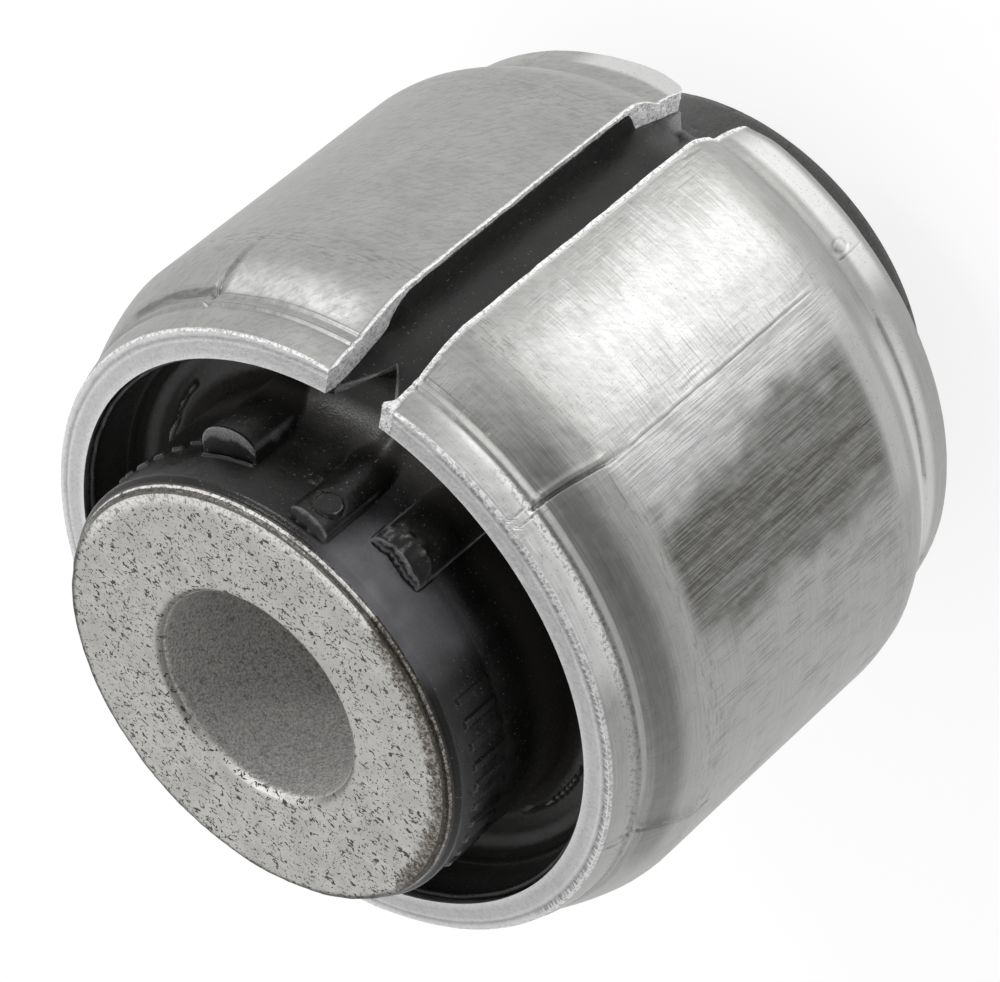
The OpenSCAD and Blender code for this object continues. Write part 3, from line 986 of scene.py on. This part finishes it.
def paint_shell():
    p = Paint("aluminium")
    arc = p.times(p.angle, BARREL_R * np.pi / 180)
    ring = p.noise((0.25, 0.25, 6), 2, 0.7)
    wander = p.times(p.less(p.noise(0.22, 2, 0.65), 0.5), 18)
    comb = p.times(p.less(ring, 0.5), 34)
    turn = p.plus(p.angle, wander)
    dashes = p.noise((0.9, 0.9, 5), 2, 0.6)
    along = p.flat_noise(p.times(arc, 8), p.times(p.depth, 0.24), 2, 0.75)
    slant = p.flat_noise(p.times(p.plus(arc, p.depth), 2.6), p.times(p.less(arc, p.depth), 0.7), 2, 0.6)
    cloud = p.noise(0.3, 2, 0.6)
    grain = p.noise(7, 1, 0.65)
    p.shade = p.ramp(cloud, (0.3, (0.34, 0.34, 0.328)), (0.7, (0.43, 0.43, 0.418)))
    p.lay((0.49, 0.49, 0.48), p.span(ring, 0.35, 0.65), 0.3)
    # Short slanting strokes on the left half, and dashes round both ends of the barrel
    p.lay((0.25, 0.25, 0.24), p.band(p.angle, 6, 110, 40), p.span(slant, 0.52, 0.36), 0.3)
    ends = p.most(p.band(p.depth, 13.6, 14.6, 1), p.times(p.band(p.depth, 32.2, 34, 1), 0.5))
    p.lay((0.2, 0.2, 0.19), ends, p.span(dashes, 0.46, 0.36), 0.5)
    # Polished beside the slit with a painted highlight, and further round a dark field of strokes along
    # the axis with painted dark reflection
    polish_and_highlight = p.times(p.band(p.plus(turn, comb), -30, -17, 7), p.band(p.depth, *POLISH_AND_HIGHLIGHT, 1.6))
    polish_and_highlight = p.times(polish_and_highlight, p.span(p.plus(slant, ring), 0.8, 1.15, 0.62, 1))
    polish_and_highlight = p.times(polish_and_highlight, p.span(p.depth, 12, 22, 0.4, 1), p.span(p.angle, -34, -32.5))
    p.lay((0.66, 0.66, 0.655), polish_and_highlight, 0.66)
    # Between the highlight and the dark field the barrel is painted lighter, as painted reflection with
    # streaks along the axis
    painted_after_shine = p.times(p.band(turn, -40.5, -36.5, 6.5), p.band(p.depth, *POLISH_AND_HIGHLIGHT, 2))
    p.lay(p.ramp(along, (0.38, 0.42), (0.6, 0.66)), painted_after_shine, 0.75)
    # The dark field is painted dark reflection, with strokes along the axis in it
    strokes_and_dark_reflection = p.times(p.band(turn, -61, -49, 9), p.band(p.depth, 14.6, 32.4, 1.4))
    strokes = p.span(p.plus(along, p.times(p.plus(cloud, slant), 0.25)), 0.6, 0.95)
    lanes = p.flat_noise(p.times(arc, 0.9), p.times(p.depth, 0.09), 2, 0.6)
    lanes = p.span(lanes, 0.3, 0.7, 1.25, 0.9)
    strokes_and_dark_reflection = p.times(strokes_and_dark_reflection, lanes, p.plus(p.times(strokes, -0.48), 1))
    p.lay((0.11, 0.108, 0.1), strokes_and_dark_reflection, 0.88)
    # A few single strokes lie beyond the dark field
    few = p.plus(p.noise((0.5, 0.5, 0.35), 1), p.times(p.span(p.angle, -60, -110), 0.1))
    few = p.span(p.plus(p.times(along, 0.8), p.times(few, 0.6)), 0.66, 0.6)
    p.lay((0.19, 0.19, 0.18), few, p.patch((*POLISH_AND_HIGHLIGHT, 2), (-112, -66, 9)), 0.5)
    p.lay((0.6, 0.6, 0.59), p.patch((33.6, 34.6, 0.6), (-66, -38, 6)), 0.5)
    # The shoulders are smooth. Painted shade darkens the right shoulder, and painted highlights brighten
    # parts of the collars and shoulders
    shoulder_shade = p.times(p.span(p.depth, 9.4, 10.1), p.span(p.depth, 12.3, 11))
    right = p.band(p.angle, -100, -30, 12)
    p.lay((0.13, 0.13, 0.126), shoulder_shade, right, 0.6)
    # Painted highlight on the foot end's right shoulder
    p.lay((0.7, 0.7, 0.69), p.patch((36.2, 38.8, 0.8), (-86, -52, 12)), 0.8)
    rough_grain = p.noise(4, 2, 0.8)
    # Painted highlights on the head end's collar and on the foot end's lip
    highlight_colour = (0.8, 0.8, 0.795)
    near_lip_highlight = p.patch((7, 8.5, 0.3), (-56, -20, 12))
    p.lay(highlight_colour, near_lip_highlight, p.span(p.angle, -22, -44, 0.65, 1), 0.9)
    far_left_highlight = p.times(p.patch((39.6, 41, 0.5), (6, 22, 7)), 0.7)
    p.lay(highlight_colour, p.most(p.patch((39.2, 40.3, 0.6), (-36, -12, 9)), far_left_highlight))
    # Painted highlight on the left shoulder
    left_face_highlight = p.times(p.span(p.depth, 9.5, 10), p.span(p.depth, 12.8, 10.3))
    left_face_highlight = p.times(left_face_highlight, p.span(p.angle, 5, 11), p.span(p.angle, 34.6, 33.4))
    uneven = p.span(p.plus(p.noise(1.1, 2, 0.6), p.times(slant, 0.5)), 0.5, 1, 0.35, 1)
    p.lay((0.76, 0.76, 0.75), left_face_highlight, uneven)
    # A thin dark line runs beside each die step
    steps_line = p.most(p.band(p.depth, 8.95, 8.97, 0.06), p.band(p.depth, 9.66, 9.68, 0.06))
    p.lay((0.15, 0.15, 0.145), steps_line, p.span(cloud, 0.3, 0.6, 0.2, 0.5))
    # The recess beside the left crease is painted darker, as painted shade
    recess_shade = p.patch((9.65, 10.1, 0.15), (37, 57, 3))
    p.lay((0.17, 0.17, 0.165), recess_shade, p.span(dashes, 0.3, 0.6, 0.35, 0.8))
    specks = p.times(p.band(p.depth, 8.2, 8.9, 0.15), p.span(rough_grain, 0.5, 0.4))
    p.lay((0.2, 0.2, 0.195), specks, right, 0.6)
    p.lay((0.18, 0.18, 0.175), p.span(grain, 0.34, 0.29), 0.4)
    # Sawn faces: both sides of the slit and the rim
    sawn = p.times(p.span(p.math("ABSOLUTE", p.x), 2.5, 2.3), p.span(p.y, -17, -18))
    rim = p.span(p.depth, RIM_AT + 0.22, RIM_AT + 0.12)
    across = p.span(p.plus(p.radius, p.times(grain, 0.12)), 19.15, 21.3)
    bands = p.ramp(
        across, (0, 0.88), (0.1, 0.74), (0.25, 0.57), (0.6, 0.64), (0.72, 0.78), (0.84, 0.38), (0.95, 0.9)
    )
    cut = p.ramp(rough_grain, (0.36, 0.5), (0.5, 0.92), (0.62, 1.0))
    # Small teeth along the groove of the rim face, on the right side
    tooth = p.flat_noise(p.times(p.angle, 1.6), p.radius, 1)
    tooth = p.times(p.span(tooth, 0.56, 0.46), p.band(p.radius, 20.72, 20.98, 0.08))
    bands = p.over(bands, (0.16, 0.16, 0.155), tooth, p.band(p.angle, -118, -22, 8), 0.8)
    # The rim's outer edge is bright only in places
    chipped = p.times(p.band(p.radius, 21.12, 21.4, 0.06), p.span(rough_grain, 0.54, 0.46))
    bands = p.over(bands, (0.42, 0.42, 0.41), chipped, 0.7)
    p.lay(p.over(bands, cut, 0.2), rim)
    p.lay(cut, sawn)
    rough_part = p.most(rim, sawn)
    lines = p.times(p.plus(ring, along), 0.017)
    dents = p.times(p.noise(0.9, 1), 0.07)
    chips = p.times(rough_grain, p.plus(sawn, p.times(rim, 0.45)), 0.14)
    normal = p.bump(p.plus(lines, dents, chips), 1, 1)
    gloss = p.plus(p.span(cloud, 0.3, 0.7, 0.4, 0.5), p.times(rough_part, 0.12))
    metal = p.less(p.span(rough_part, 0, 1, 1, 0.5), p.times(sawn, 0.2))
    turned = p.span(rough_part, 0, 1, 0.55, 0)
    return p.finish(
        metallic=metal, roughness=gloss, anisotropic=turned, anisotropic_rotation=0.25, normal=normal
    )


# Floor, light and camera


def build_floor():
    material = bpy.data.materials.new("floor")
    material.use_nodes = True
    shader = material.node_tree.nodes["Principled BSDF"]
    for key, value in (
        ("Base Color", (0.2, 0.2, 0.2, 1)), ("Roughness", 0.9), ("Specular IOR Level", 0),
        ("Emission Color", (1, 1, 1, 1)), ("Emission Strength", 0.855),
    ):
        shader.inputs[key].default_value = value
    size = 3.0
    corners = [(-size, -size, 0), (size, -size, 0), (size, size, 0), (-size, size, 0)]
    mesh = bpy.data.meshes.new("floor")
    mesh.from_pydata(corners, [], [(0, 1, 2, 3)])
    mesh.materials.append(material)
    show("floor", mesh)


def stand(name, data, right, up, back, at):
    """A new object at a place, with its axes turned these ways."""
    thing = show(name, data)
    rows = [(right[i], up[i], back[i], at[i]) for i in range(3)]
    thing.matrix_world = Matrix(rows + [(0, 0, 0, 1)])
    return thing


def add_light(name, size, radiance, at, towards):
    """A soft rectangular lamp at a place, facing another, with its size across and along."""
    lamp = bpy.data.lights.new(name, "AREA")
    lamp.shape = "RECTANGLE"
    lamp.size, lamp.size_y = size
    lamp.energy = radiance * np.pi * size[0] * size[1]
    back = np.array(at, float) - np.array(towards, float)
    back = back / np.linalg.norm(back)
    right = np.cross((0, 1, 0) if abs(back[2]) > 0.9 else (0, 0, 1), back)
    right = right / np.linalg.norm(right)
    stand(name, lamp, right, np.cross(back, right), back, at)


def build_light():
    world = bpy.data.worlds.new("studio")
    world.use_nodes = True
    nodes, links = world.node_tree.nodes, world.node_tree.links
    # The room is darker to one side of the bush
    towards = nodes.new("ShaderNodeTexCoord")
    dot = nodes.new("ShaderNodeVectorMath")
    dot.operation = "DOT_PRODUCT"
    dot.inputs[1].default_value = (-0.85, -0.4, 0.34)
    fall = nodes.new("ShaderNodeMapRange")
    fall.interpolation_type = "SMOOTHSTEP"
    for socket, value in zip(fall.inputs[1:5], (0.1, 0.95, 0.82, 0.3)):
        socket.default_value = value
    links.new(towards.outputs["Generated"], dot.inputs[0])
    links.new(dot.outputs["Value"], fall.inputs[0])
    nodes["Background"].inputs["Color"].default_value = (1, 1, 1, 1)
    links.new(fall.outputs["Result"], nodes["Background"].inputs["Strength"])
    bpy.context.scene.world = world
    # A low panel in front and a soft box to its other side
    add_light("low_panel", (0.036, 0.045), 2.0, (-0.0174, -0.0575, 0.001), (-0.0174, -0.0575, 1))
    add_light("soft_box", (0.22, 0.2), 12.0, (0.42, -0.48, 0.54), (0, 0, 0.024))
    bpy.context.scene.view_settings.view_transform = "Standard"


def build_camera():
    camera = bpy.data.cameras.new("camera")
    camera.sensor_width = 36
    camera.lens = 198
    right = (-0.780083, -0.112571, -0.615466)
    up = (0.510008, -0.684228, -0.521271)
    back = (-0.362439, -0.720527, 0.591167)
    at = (-0.122571, -0.243602, 0.224352)
    bpy.context.scene.camera = stand("camera", camera, right, up, back, at)


build_sleeve(paint_steel())
build_rubber(paint_rubber())
build_shell(paint_shell())
build_floor()
build_light()
build_camera()
